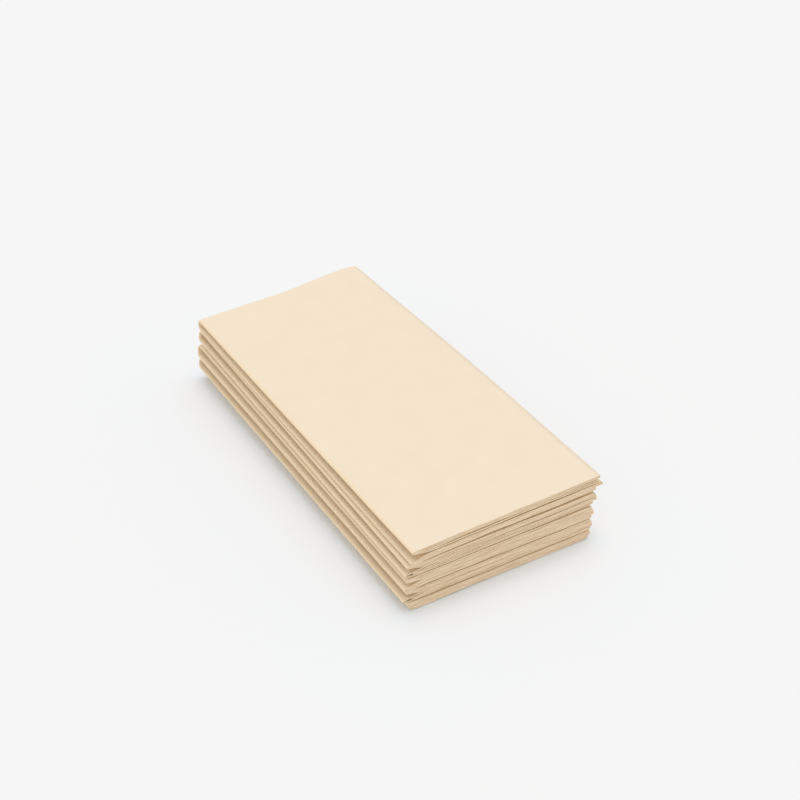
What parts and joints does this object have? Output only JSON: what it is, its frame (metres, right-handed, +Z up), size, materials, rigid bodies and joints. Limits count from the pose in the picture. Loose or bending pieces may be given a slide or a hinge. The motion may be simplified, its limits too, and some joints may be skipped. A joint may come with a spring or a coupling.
{
  "type": "stack of paper napkins",
  "caption": "Stack of soft cream paper napkins, each folded flat to a slim oblong, with rounded folds along one long side and cut edges at the front.",
  "frame": {"origin": "on the table, under the middle of the stack's outline", "axes": "+X across the stack from the long folds to the long cut edges, +Y along it from the cut front ends to the cross folds, +Z up"},
  "size_m": [0.099, 0.2182, 0.0407],
  "materials": {
    "paper": "matte"
  },
  "bodies": {
    "root": {"bottom_napkin": "paper", "second_napkin": "paper", "middle_napkin": "paper", "fourth_napkin": "paper", "top_napkin": "paper"}
  },
  "joints": []
}
